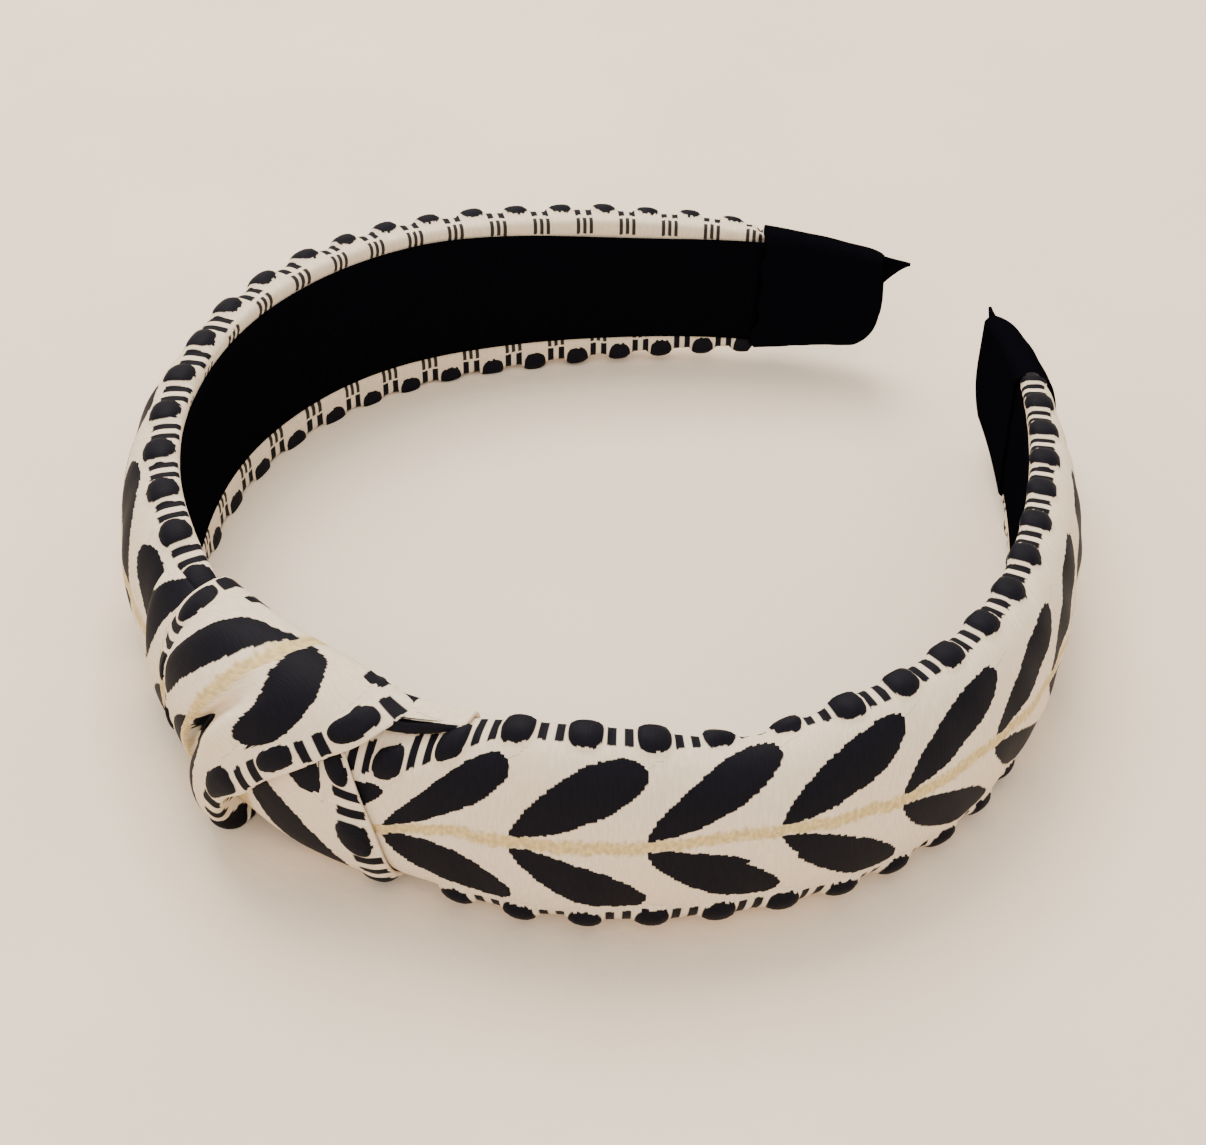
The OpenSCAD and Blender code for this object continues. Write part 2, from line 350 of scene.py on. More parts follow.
class Wire:
    """A number on its way through a node tree. Arithmetic on it adds math nodes."""

    def __init__(self, tree, socket):
        self.tree, self.socket = tree, socket

    def math(self, operation, *others):
        node = self.tree.nodes.new("ShaderNodeMath")
        node.operation = operation
        for slot, value in zip(node.inputs, (self, *others)):
            if isinstance(value, Wire):
                self.tree.links.new(value.socket, slot)
            else:
                slot.default_value = value
        return Wire(self.tree, node.outputs[0])

    def __add__(self, other):
        return self.math("ADD", other)

    def __sub__(self, other):
        return self.math("SUBTRACT", other)

    def __mul__(self, other):
        return self.math("MULTIPLY", other)

    def __truediv__(self, other):
        return self.math("DIVIDE", other)

    def __pow__(self, other):
        return self.math("POWER", other)

    def flip(self):
        return self.math("MULTIPLY_ADD", -1.0, 1.0)

    def absolute(self):
        return self.math("ABSOLUTE")

    def at_least(self, other):
        return self.math("MAXIMUM", other)

    def at_most(self, other):
        return self.math("MINIMUM", other)

    def edge(self, low, high):
        """0 below low and 1 above high, softly; low over high turns it round."""
        node = self.tree.nodes.new("ShaderNodeMapRange")
        node.interpolation_type = "SMOOTHSTEP"
        turned = low > high
        low, high = min(low, high), max(low, high)
        self.tree.links.new(self.socket, node.inputs["Value"])
        node.inputs["From Min"].default_value = low
        node.inputs["From Max"].default_value = high
        node.inputs["To Min"].default_value = 1.0 if turned else 0.0
        node.inputs["To Max"].default_value = 0.0 if turned else 1.0
        return Wire(self.tree, node.outputs["Result"])


def node_noise(tree, vector, scale, detail=2.0):
    node = tree.nodes.new("ShaderNodeTexNoise")
    node.inputs["Scale"].default_value = scale
    node.inputs["Detail"].default_value = detail
    tree.links.new(vector, node.inputs["Vector"])
    return Wire(tree, node.outputs["Fac"])


def node_random(tree, wire):
    node = tree.nodes.new("ShaderNodeTexWhiteNoise")
    node.noise_dimensions = "1D"
    tree.links.new(wire.socket, node.inputs["W"])
    return Wire(tree, node.outputs["Value"])


def node_vector(tree, x, y, z=0.0):
    node = tree.nodes.new("ShaderNodeCombineXYZ")
    for slot, value in zip(node.inputs, (x, y, z)):
        if isinstance(value, Wire):
            tree.links.new(value.socket, slot)
        else:
            slot.default_value = value
    return node.outputs[0]


def node_mix(tree, share, low, high):
    node = tree.nodes.new("ShaderNodeMix")
    node.data_type = "RGBA"
    tree.links.new(share.socket, node.inputs["Factor"])
    for slot, value in ((node.inputs["A"], low), (node.inputs["B"], high)):
        if isinstance(value, bpy.types.NodeSocket):
            tree.links.new(value, slot)
        else:
            slot.default_value = value
    return node.outputs["Result"]


def tinted(colour, *factors):
    """A colour with its red, green and blue scaled by one factor, or by one each."""
    factors = factors * 3 if len(factors) == 1 else factors
    return tuple(min(1, c * f) for c, f in zip(colour[:3], factors)) + (1,)


def new_group(name, inputs, outputs):
    tree = bpy.data.node_groups.new(name, "ShaderNodeTree")
    for kind, items in (("INPUT", inputs), ("OUTPUT", outputs)):
        for label, socket_type, default in items:
            socket = tree.interface.new_socket(label, in_out=kind, socket_type=socket_type)
            if default is not None:
                socket.default_value = default
    return tree, tree.nodes.new("NodeGroupInput"), tree.nodes.new("NodeGroupOutput")


def leaf_mask(along, across):
    """One leaf of the pattern, from its base on the vein to its rounded tip, in thread lengths."""
    run, rise, length = 17.0, 9.9, 19.7
    c, s = run / length, rise / length
    x, y = along - 0.3, across - 1.0
    a = ((x * c) + (y * s)) / length
    a = a.at_least(0.0).at_most(1.0)
    d = ((y * c) - (x * s)) - (a * a.flip() * 1.6)
    width = (a**0.72) * (a.flip() ** 0.46) * 7.3
    return (width - d.absolute()).edge(-0.1, 0.12)


def ribbon_group(colours, sizes):
    """The woven ribbon: leaves on both sides of a gold vein, and a border of dots, bars and hem ticks."""
    tree, given, made = new_group(
        "Leaf Ribbon Weave",
        [
            ("Weave", "NodeSocketVector", None),
            ("Leaf Pitch", "NodeSocketFloat", LEAF_PITCH),
            ("Ground", "NodeSocketColor", tuple(colours.ground)),
            ("Leaf", "NodeSocketColor", tuple(colours.leaf)),
            ("Vein", "NodeSocketColor", tuple(colours.vein)),
        ],
        [
            ("Color", "NodeSocketColor", None),
            ("Roughness", "NodeSocketFloat", None),
            ("Height", "NodeSocketFloat", None),
        ],
    )
    split = tree.nodes.new("ShaderNodeSeparateXYZ")
    tree.links.new(given.outputs["Weave"], split.inputs[0])
    p, q = Wire(tree, split.outputs["X"]), Wire(tree, split.outputs["Y"])
    pitch = Wire(tree, given.outputs["Leaf Pitch"])
    rib = sizes.rib_pitch / MM
    index = (p / rib).math("FLOOR")
    side = q.math("SIGN")
    jitter = node_random(tree, index + side * 0.37) - 0.5
    stepped = (index + 0.5) * rib
    comb = stepped * 0.6 + p * 0.4
    reach = q.absolute() + jitter * 0.34
    thread = node_vector(tree, p * 3.0, q * 0.5)
    grain = node_noise(tree, thread, 1.0, 3.0)
    cloud = node_noise(tree, node_vector(tree, p * 0.06, q * 0.06), 1.0)

    cell = ((comb - 0.3) / pitch).math("FRACT") * LEAF_PITCH + 0.3
    leaf = leaf_mask(cell, reach).at_least(leaf_mask(cell + LEAF_PITCH, reach))
    field = q.absolute().edge(12.6, 12.2)
    leaf = leaf * field

    gap = (((p - FIRST_DOT) / (pitch * 0.5) + 0.5).math("FRACT") - 0.5).absolute() * (LEAF_PITCH / 2)
    dot = ((gap / 2.2) ** 2.6 + ((reach - DOT_MIDDLE).absolute() / 2.35) ** 2.6).edge(1.08, 0.92)
    bar = ((gap - 3.2).absolute()).edge(0.66, 0.5) * ((reach - 15.9).absolute()).edge(2.4, 2.1)
    tick = ((gap - 3.0).absolute().at_most((gap - 4.275).absolute())).edge(0.42, 0.3)
    tick = tick * ((reach - 20.5).absolute()).edge(1.75, 1.5)
    ink = leaf.at_least(dot).at_least(bar).at_least(tick * 0.97)

    wander = node_noise(tree, node_vector(tree, p * 0.35, 0.0), 1.0) - 0.5
    breaks = node_noise(tree, node_vector(tree, p * 1.7, q * 1.2), 1.0, 3.0)
    vein = ((q + wander * 1.6).absolute() + breaks * 1.5).edge(2.2, 1.3)
    vein = vein * leaf.flip()
    halo = ink.flip() * node_noise(tree, node_vector(tree, p * 0.5, q * 0.5, 4.0), 1.0).edge(0.45, 0.75)

    shade = node_mix(
        tree, grain.edge(0.35, 0.75), tinted(colours.ground, 0.86), given.outputs["Ground"]
    )
    worn = tinted(colours.ground, 0.93, 0.87, 0.76)
    shade = node_mix(tree, cloud.edge(0.45, 0.8) * 0.5 + halo * 0.12, shade, worn)
    # painted highlight: in noisy patches the gold vein is mixed with a copy half again as bright, painted
    # glints on the gold thread
    gold = node_mix(
        tree, breaks.edge(0.35, 0.65), given.outputs["Vein"], tinted(colours.vein, 1.5)
    )
    shade = node_mix(tree, vein * 0.85, shade, gold)
    deep = node_mix(tree, grain.edge(0.3, 0.8), given.outputs["Leaf"], tinted(colours.leaf, 1.7))
    colour = node_mix(tree, ink, shade, deep)
    tree.links.new(colour, made.inputs["Color"])
    rough = (ink * -0.16) + (vein * -0.2) + 0.8
    tree.links.new(rough.socket, made.inputs["Roughness"])
    wave = ((p / rib).math("FRACT") - 0.5).absolute() * -2.0 + 1.0
    height = wave * 0.02 + ink * 0.1 + grain * 0.03 + vein * breaks * 0.15
    tree.links.new(height.socket, made.inputs["Height"])
    return tree


def black_ribbon_group():
    """Plain ribbed ribbon, for the lining and the caps, its rib crests painted lighter as sheen."""
    tree, given, made = new_group(
        "Plain Ribbon Weave",
        [
            ("Weave", "NodeSocketVector", None),
            ("Rib Pitch", "NodeSocketFloat", 0.6),
            ("Colour", "NodeSocketColor", (0.01, 0.01, 0.012, 1)),
        ],
        [("Color", "NodeSocketColor", None), ("Height", "NodeSocketFloat", None)],
    )
    split = tree.nodes.new("ShaderNodeSeparateXYZ")
    tree.links.new(given.outputs["Weave"], split.inputs[0])
    p, q = Wire(tree, split.outputs["X"]), Wire(tree, split.outputs["Y"])
    pitch = Wire(tree, given.outputs["Rib Pitch"])
    wave = ((p / pitch).math("FRACT") - 0.5).absolute() * -2.0 + 1.0
    thread = node_noise(tree, node_vector(tree, p * 1.5, q * 4.0), 1.0, 3.0)
    lint = node_noise(tree, node_vector(tree, p * 0.7, q * 0.7, 2.0), 1.0, 4.0)
    # painted sheen: the colour is lifted towards a copy 1.9 times as bright along the rib crests (wave),
    # besides real thread tone and lighter lint patches
    share = (wave * 0.35 + thread * 0.5).at_most(1.0) * 0.6 + lint.edge(0.55, 0.8) * 0.3
    light = tree.nodes.new("ShaderNodeHueSaturation")
    light.inputs["Value"].default_value = 1.9
    tree.links.new(given.outputs["Colour"], light.inputs["Color"])
    colour = node_mix(tree, share, given.outputs["Colour"], light.outputs["Color"])
    tree.links.new(colour, made.inputs["Color"])
    tree.links.new((wave * 0.6 + thread * 0.5).socket, made.inputs["Height"])
    return tree


def new_material(name, roughness, **values):
    material = bpy.data.materials.new(name)
    material.use_nodes = True
    tree = material.node_tree
    shader = tree.nodes["Principled BSDF"]
    shader.inputs["Roughness"].default_value = roughness
    for label, value in values.items():
        shader.inputs[label.replace("_", " ")].default_value = value
    return material, tree, shader


def use_group(tree, group, values):
    node = tree.nodes.new("ShaderNodeGroup")
    node.node_tree = group
    for label, value in values.items():
        node.inputs[label].default_value = value
    uv = tree.nodes.new("ShaderNodeUVMap")
    uv.uv_map = "weave"
    tree.links.new(uv.outputs[0], node.inputs["Weave"])
    return node


def add_bump(tree, shader, height, distance, strength=0.6):
    node = tree.nodes.new("ShaderNodeBump")
    node.inputs["Strength"].default_value = strength
    node.inputs["Distance"].default_value = distance
    tree.links.new(height, node.inputs["Height"])
    tree.links.new(node.outputs[0], shader.inputs["Normal"])


def ribbon_material(name, pitch):
    """The leaf ribbon at one leaf pitch, in millimetres."""
    found = bpy.data.materials.get(name)
    if found:
        return found
    scene = bpy.context.scene
    colours, sizes = scene.headband_colours, scene.headband_sizes
    group = bpy.data.node_groups.get("Leaf Ribbon Weave") or ribbon_group(colours, sizes)
    material, tree, shader = new_material(name, 0.8, Specular_IOR_Level=0.1)
    weave = use_group(tree, group, {
        "Leaf Pitch": pitch,
        "Ground": tuple(colours.ground),
        "Leaf": tuple(colours.leaf),
        "Vein": tuple(colours.vein),
    })
    tree.links.new(weave.outputs["Color"], shader.inputs["Base Color"])
    tree.links.new(weave.outputs["Roughness"], shader.inputs["Roughness"])
    add_bump(tree, shader, weave.outputs["Height"], 0.001)
    return material


def plain_ribbon_material(name, colour, rib, roughness, strength):
    found = bpy.data.materials.get(name)
    if found:
        return found
    group = bpy.data.node_groups.get("Plain Ribbon Weave") or black_ribbon_group()
    material, tree, shader = new_material(name, roughness, Specular_IOR_Level=0.0)
    weave = use_group(tree, group, {"Rib Pitch": rib, "Colour": tuple(colour)})
    tree.links.new(weave.outputs["Color"], shader.inputs["Base Color"])
    add_bump(tree, shader, weave.outputs["Height"], 0.00012, strength)
    return material


def solid_material(name, colour, scale, roughness, depth):
    """Foam or plastic: one colour, softly mottled, over fine pores or a moulded grain."""
    found = bpy.data.materials.get(name)
    if found:
        return found
    material, tree, shader = new_material(name, roughness)
    where = tree.nodes.new("ShaderNodeTexCoord").outputs["Object"]
    grain = node_noise(tree, where, scale, 3.0)
    tint = node_mix(tree, grain, tinted(colour, 0.85), tuple(colour))
    tree.links.new(tint, shader.inputs["Base Color"])
    add_bump(tree, shader, grain.socket, depth)
    return material


# --- Settings ---


def colour_prop(name, description, default):
    return FloatVectorProperty(
        name=name, description=description, default=default, size=4, min=0, max=1, subtype="COLOR"
    )


def length_prop(name, description, default):
    return FloatProperty(
        name=name, description=description, default=default, min=0, precision=5, unit="LENGTH"
    )


class HeadbandSizes(PropertyGroup):
    leaf_pitch: length_prop("Leaf pitch", "Length of one leaf repeat on the right cover", 0.0171)
    left_leaf_pitch: length_prop("Left leaf pitch", "Length of one leaf repeat on the left cover", 0.0154)
    rib_pitch: length_prop("Rib pitch", "Spacing of the ribs across the woven ribbon", 0.00048)
    cover_wall: length_prop("Cover wall", "Thickness of the woven cover", 0.0005)
    dot_height: length_prop("Dot height", "How far the border's dots stand off the cover", 0.0012)
    lining_wall: length_prop("Lining wall", "Thickness of the lining ribbon", 0.00035)


class HeadbandColours(PropertyGroup):
    ground: colour_prop("Ground", "Cream ground of the woven ribbon", (0.86, 0.725, 0.555, 1))
    leaf: colour_prop("Leaf", "Leaves and border of the woven ribbon", (0.0026, 0.0023, 0.0052, 1))
    vein: colour_prop("Vein", "Gold thread along the vein", (0.47, 0.34, 0.13, 1))
    lining: colour_prop("Lining", "Lining ribbon", (0.0017, 0.0016, 0.0026, 1))
    cap: colour_prop("Cap", "Ribbon round the tips", (0.0018, 0.0017, 0.0028, 1))
    foam: colour_prop("Foam", "Padding", (0.83, 0.81, 0.75, 1))
    core: colour_prop("Core", "Plastic core strip", (0.72, 0.68, 0.58, 1))
    floor: colour_prop("Floor", "Floor under the headband", (0.93, 0.79, 0.635, 1))


class HeadbandStage(PropertyGroup):
    lens: FloatProperty(name="Lens", description="Focal length in millimetres", default=63.58, min=10)
    distance: length_prop("Distance", "From the camera to the point it looks at", 0.3316)
    azimuth: FloatProperty(
        name="Azimuth", description="Turn of the camera round the band", default=math.radians(47.6),
        subtype="ANGLE",
    )
    elevation: FloatProperty(
        name="Elevation", description="Height of the camera over the floor's horizon", default=0.698,
        subtype="ANGLE",
    )
    roll: FloatProperty(name="Roll", description="Tilt of the camera", default=0.015, subtype="ANGLE")


# --- Pieces ---


def sides():
    return (("right", 1), ("left", -1))


class HEADBAND_OT_cores(Operator):
    """Make the springy plastic strip inside each side of the band"""

    bl_idname = "headband.cores"
    bl_label = "Core Strips"

    def execute(self, context):
        material = solid_material(
            "Core Plastic", context.scene.headband_colours.core, 900, 0.45, 0.0002
        )
        half, back, front, soft = 11.5, 1.15, 2.6, 0.4
        for side, sign in sides():
            s = np.linspace(0, ARM_LEN - 6, 110)
            h = np.minimum(half, half_height(sign * s) - 2.6)
            rings = []
            for si, hi in zip(s, h):
                r = [back, back + soft, front - soft, front, front, front - soft, back + soft, back]
                z = [hi - soft, hi, hi, hi - soft, soft - hi, -hi, -hi, soft - hi]
                rings.append(hoop(sign * si, np.array(r), np.array(z)))
            piece = tube_piece(f"core_strip_{side}", np.array(rings), material)
            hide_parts(f"core_{side}", *(["core_crown"] if sign > 0 else []))
            bend_with_arm(piece, side)
        return {"FINISHED"}


class HEADBAND_OT_padding(Operator):
    """Make the crowned foam strip on the outer side of each core"""

    bl_idname = "headband.padding"
    bl_label = "Foam Padding"

    def execute(self, context):
        material = solid_material(
            "Padding Foam", context.scene.headband_colours.foam, 2600, 0.9, 0.0006
        )
        for side, sign in sides():
            s = np.linspace(0, ARM_LEN - 5.5, 150)
            rings = []
            for si in s:
                top = half_height(sign * si) + min(0, edge_dip(sign * si)) - 1.3
                low = half_height(sign * si) - 1.3
                u = np.linspace(-80, 80, 28) * np.pi / 180
                tip = math.sqrt(1 - max(0, (si - ARM_LEN + 12) / 12) ** 2)
                r = 2.75 + (thickness(si) - 0.95 - 2.75) * np.cos(u) ** 0.9 * tip
                z = np.where(u > 0, top, low) * np.sin(u)
                r, z = np.r_[r, 2.7, 2.7], np.r_[z, top * 0.93, -low * 0.93]
                rings.append(hoop(sign * si, r, z))
            piece = tube_piece(f"padding_{side}", np.array(rings), material)
            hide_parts(f"foam_{side}", *(["foam_crown"] if sign > 0 else []))
            bend_with_arm(piece, side)
        return {"FINISHED"}


class HEADBAND_OT_covers(Operator):
    """Make the woven ribbon that covers each side, its hems folded on to the inner face"""

    bl_idname = "headband.covers"
    bl_label = "Woven Covers"

    def execute(self, context):
        sizes = context.scene.headband_sizes
        for side, sign in sides():
            pitch = (sizes.leaf_pitch if sign > 0 else sizes.left_leaf_pitch) / MM
            material = ribbon_material(f"Leaf Ribbon {side.title()}", pitch)
            s = sign * np.linspace(0, CAP_FROM + 4, 250)
            across = np.linspace(-1, 1, 92)
            under_cap = 0.75 * smooth((np.abs(s) - CAP_FROM + 0.2) / 0.8)
            _, front = girth_point(s, 1.0)
            _, front_low = girth_point(s, -1.0)
            hem_end = np.where(across[None] > 0, front[:, None], front_low[:, None]) + 8.6
            w = across[None] * hem_end
            grid_s = np.repeat(s[:, None], len(across), 1)
            base, ends = girth_point(grid_s, w)
            q = across_thread(grid_s, w, ends)
            step = np.linalg.norm(np.diff(base, axis=0), axis=2)
            p = np.vstack([np.zeros(len(across)), np.cumsum(step, axis=0)])
            p = self.even_border(s, p, q, sign)
            rise = dot_raise(p * sizes.leaf_pitch / MM / pitch, q, sizes)
            rise *= sizes.dot_height / MM * smooth((np.abs(s)[:, None] - 5) / 10)
            rise *= 1 - smooth((np.abs(w) - ends - 1.6) / 1.4)
            # the soft padding under the cloth is a little uneven
            ease = 0.14 * np.sin(grid_s * 0.37) * np.sin(w * 0.31 + 0.8)
            ease += 0.1 * np.sin(grid_s * 0.83 + w * 0.2)
            ease *= smooth((ends + 1.0 - np.abs(w)) / 4)
            points, _ = girth_point(grid_s, w, rise + ease - under_cap[:, None])
            piece = grid_piece(
                f"woven_cover_{side}", points, material, np.stack([p, q], -1),
                facing=(sign, 0.0, 0.0), wall=sizes.cover_wall / MM,
            )
            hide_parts(f"cover_{side}", f"cover_root_{side}")
            bend_with_arm(piece, side)
        return {"FINISHED"}

    def even_border(self, s, p, q, sign):
        """Thread lengths along the cover from its first leaf, or on the left from a dot, the same
        right across each border."""
        zero = 55.7 if sign > 0 else 92.5
        p = p - np.array([np.interp(zero, np.abs(s), column) for column in p.T])
        if sign < 0:
            p = np.where(p > 0, p, 0.8 * p) + FIRST_DOT
        for edge in (-1, 1):
            even = np.array([
                np.interp(14.0, edge * across[::edge], along[::edge]) for across, along in zip(q, p)
            ])
            p += smooth((edge * q - 12.2) / 0.6) * (even[:, None] - p)
        return p


class HEADBAND_OT_linings(Operator):
    """Make the ribbon glued along the inner face of each side"""

    bl_idname = "headband.linings"
    bl_label = "Lining Ribbons"

    def execute(self, context):
        scene = context.scene
        colour = scene.headband_colours.lining
        material = plain_ribbon_material("Lining Ribbon", colour, 0.45, 0.85, 0.7)
        wall = scene.headband_sizes.lining_wall / MM
        for side, sign in sides():
            s = sign * np.linspace(0, CAP_FROM + 1.5, 180)
            across = np.linspace(-1, 1, 22)
            reach = np.where(across > 0, lining_top(s)[:, None], lining_half(s)[:, None])
            z = reach * across[None]
            grid_s = np.repeat(s[:, None], len(across), 1)
            edge = 0.12 * smooth((np.abs(across) - 0.9) / 0.1)[None]
            points = hoop(grid_s, -0.02 + edge * 0.8 + 0.05 * np.sin(grid_s * 0.21 + z * 0.3), z)
            step = np.linalg.norm(np.diff(points, axis=0), axis=2)
            p = np.vstack([np.zeros(len(across)), np.cumsum(step, axis=0)])
            piece = grid_piece(
                f"lining_ribbon_{side}", points, material, np.stack([p, z], -1),
                facing=(-sign, 0.0, 0.0), wall=wall,
            )
            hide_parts(f"lining_{side}", *(["lining_crown"] if sign > 0 else []))
            bend_with_arm(piece, side)
        return {"FINISHED"}


class HEADBAND_OT_caps(Operator):
    """Make the ribbon cap round each tip, and the folded corner that stands at its top"""

    bl_idname = "headband.caps"
    bl_label = "Tip Caps"

    def execute(self, context):
        material = plain_ribbon_material(
            "Cap Ribbon", context.scene.headband_colours.cap, 0.5, 0.6, 0.5
        )
        for side, sign in sides():
            self.make_cap(side, sign, material)
            self.make_corner(side, sign, material)
        return {"FINISHED"}

    def make_cap(self, side, sign, material):
        count = 64
        v = np.linspace(0, 2 * np.pi, count, endpoint=False)
        rings, weave = [], []
        for a in np.linspace(0, 1, 46):
            s_mid = CAP_FROM + a * (ARM_LEN - CAP_FROM)
            h, t = half_height(s_mid) + 0.25, thickness(s_mid) + 0.35
            close = math.sqrt(max(0.0, 1 - max(0, (a - 0.72) / 0.28) ** 2.6))
            t = 1.9 + (t - 1.9) * (0.12 + 0.88 * close)
            z = h * np.sign(np.sin(v)) * np.abs(np.sin(v)) ** 0.62
            front = np.abs(np.cos(v)) ** 0.8 * np.sign(np.cos(v))
            r = np.where(front > 0, 1.1 + (t - 1.1) * front, 1.1 + 1.55 * np.maximum(front * 1.6, -1))
            share = z / h
            reach = np.where(
                share < 0, -7.5 * (1 - np.sqrt(np.maximum(0.0, 1 - np.abs(share) ** 2.4))),
                -0.4 * np.maximum(share, 0),
            )
            begin = 1.6 - 1.2 * smooth((-share + 0.2) / 1.2) + 0.5 * np.sin(z * 0.9)
            s = s_mid + reach * smooth(a) + begin * (1 - a) ** 2
            crease = 0.16 * np.sin(a * 17 + z * 0.55) * a
            rings.append(hoop(sign * s, r + crease * (r > 0), z))
            weave.append(np.stack([np.full(count, a * 22.0), z + (r < 0) * 3.0], -1))
        piece = tube_piece(f"tip_cap_{side}", np.array(rings), material, np.array(weave))
        bevel = piece.modifiers.new("soft edge", "BEVEL")
        bevel.width, bevel.segments, bevel.limit_method = 0.0003, 2, "ANGLE"
        bevel.angle_limit = math.radians(50)
        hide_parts(f"cap_{side}")
        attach(piece, f"arm_{side}")

    def make_corner(self, side, sign, material):
        rows, cols = 14, 9
        a = np.linspace(0, 1, rows)[:, None]
        b = np.linspace(-1, 1, cols)[None]
        drop = 8.0 * (1 - a) ** 1.35 + 0.3
        s = ARM_LEN - 2.2 + 6.2 * a + 0 * b
        z = 9.3 - 1.3 * a - drop * (1 - b) / 2
        r = 0.9 + 0.8 * a**2 + 0.5 * np.cos(b * 1.6) * (1 - a)
        points = hoop(sign * s, r, z)
        weave = np.stack([s, z], -1)
        piece = grid_piece(
            f"cap_corner_fold_{side}", points, material, weave, facing=(-sign, 0.0, 0.0), wall=0.5
        )
        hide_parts(f"cap_corner_{side}")
        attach(piece, f"arm_{side}")


# The knot's ribbons as nets of control points. Each row runs across a ribbon and starts with its place
# along the thread. Each point is arc length, girth, lift off the band and place across the thread.
OVER_WRAP = [
    (-6, [(-10.5, 24, 0.3, 19), (-8, 24, 0.35, 15), (0, 24, 0.4, 7), (9, 24, 0.4, 0), (13, 24, 0.4, -3),
          (16, 24, 0.4, -5), (20, 23.6, 0.4, -9), (25, 23.2, 0.35, -15), (27.6, 23, 0.3, -19)]),
    (-3, [(-10, 19.5, 1.3, 19), (-7.6, 19.5, 1.7, 15), (1, 19.5, 2.2, 7), (10, 19.3, 2.5, 0),
          (12.5, 19.3, 2.5, -2), (15.5, 19.3, 2.5, -4.5), (20, 19, 2.3, -9), (25.2, 17.5, 1.8, -15),
          (27.6, 17.0, 1.4, -19)]),
    (0.7, [(-9.4, 15.4, 1.4, 19), (-6.7, 14.6, 2.2, 15), (1.6, 15.8, 3.5, 4.6), (9.3, 15, 4.3, 0),
           (11, 15.4, 4.4, -1.3), (14.9, 16, 4.0, -4.6), (19, 15.0, 3.6, -9.5), (22.9, 13.3, 3.0, -15),
           (24.7, 12.4, 2.6, -19)]),
    (5, [(-9, 10.8, 1.6, 19), (-6.3, 10.6, 2.5, 15), (-0.3, 13.1, 4.2, 6.9), (6.4, 11.9, 4.8, 0),
         (9.2, 13.2, 4.9, -1.5), (13.5, 13.6, 5.0, -4.8), (16.4, 12.6, 4.6, -8.4),
         (18.9, 10.3, 3.9, -15), (20.3, 8.9, 3.3, -19)]),
    (9, [(-8.4, 7.2, 1.8, 19), (-6.2, 6.9, 2.7, 15), (-3.3, 9.3, 4.0, 9), (4.1, 8.9, 4.9, 0),
         (8.2, 10.9, 4.3, -2.2), (12.0, 11.2, 5.5, -5.6), (14.5, 9.9, 5.1, -9.8),
         (15.7, 7.8, 4.5, -15), (17.0, 6.2, 3.7, -19)]),
    (13, [(-7.2, 4.0, 1.9, 19), (-5.5, 3.9, 2.8, 15), (-3.4, 5.6, 3.9, 9.5), (2.3, 5.7, 4.7, 0),
          (4.4, 7.0, 2.5, -2.0), (8.4, 8.6, 5.6, -6.0), (11.4, 7.6, 5.5, -11.0),
          (12.4, 4.9, 5.1, -15), (13.4, 3.2, 4.2, -19)]),
    (17, [(-5.8, 1.4, 1.9, 19), (-4.6, 1.4, 2.9, 15), (-3.0, 2.2, 3.7, 10), (0.6, 2.3, 4.3, 0),
          (2.0, 3.2, 1.9, -2.0), (5.6, 5.2, 5.5, -8.0), (8.4, 4.2, 5.8, -12.0),
          (9.6, 1.5, 5.6, -15), (10.3, -0.4, 4.6, -19)]),
    (20, [(-4.9, -1.2, 1.7, 19), (-4.0, -1.2, 2.7, 15), (-2.8, -0.8, 3.4, 10), (-0.4, -0.8, 3.8, 0),
          (0.6, -0.2, 2.4, -2.0), (3.6, 2.0, 4.9, -8.0), (5.6, 1.2, 6.0, -12.0),
          (7.0, -1.0, 6.0, -15), (7.4, -3.0, 4.9, -19)]),
    (24, [(-4.0, -4.6, 1.4, 19), (-3.4, -4.6, 2.2, 15), (-2.6, -4.4, 2.8, 10), (-1.0, -4.2, 3.2, 0),
          (-0.2, -3.8, 2.4, -2.0), (1.2, -3.0, 4.8, -7.6), (2.8, -4.0, 6.3, -10.4),
          (4.4, -6.0, 6.5, -13.5), (5.2, -7.6, 5.4, -17)]),
    (28, [(-3.4, -8.6, 0.9, 19), (-3.0, -8.8, 1.6, 15), (-2.4, -8.8, 2.2, 10), (-1.4, -8.8, 2.6, 0),
          (-0.8, -8.8, 2.6, -2.0), (0.4, -8.8, 4.6, -7.0), (1.8, -9.6, 6.0, -10.0),
          (3.4, -10.6, 6.0, -12.5), (4.6, -11.4, 4.8, -15)]),
    (33, [(-2.8, -13.4, 0.6, 19), (-2.4, -13.8, 0.9, 15), (-1.8, -14.0, 1.1, 10), (-1.0, -14.2, 1.3, 0),
          (-0.4, -14.2, 1.4, -2.0), (0.6, -14.0, 2.1, -7.0), (1.8, -14.0, 2.6, -10.0),
          (2.8, -14.2, 2.7, -12.5), (3.6, -14.4, 2.2, -15)]),
]
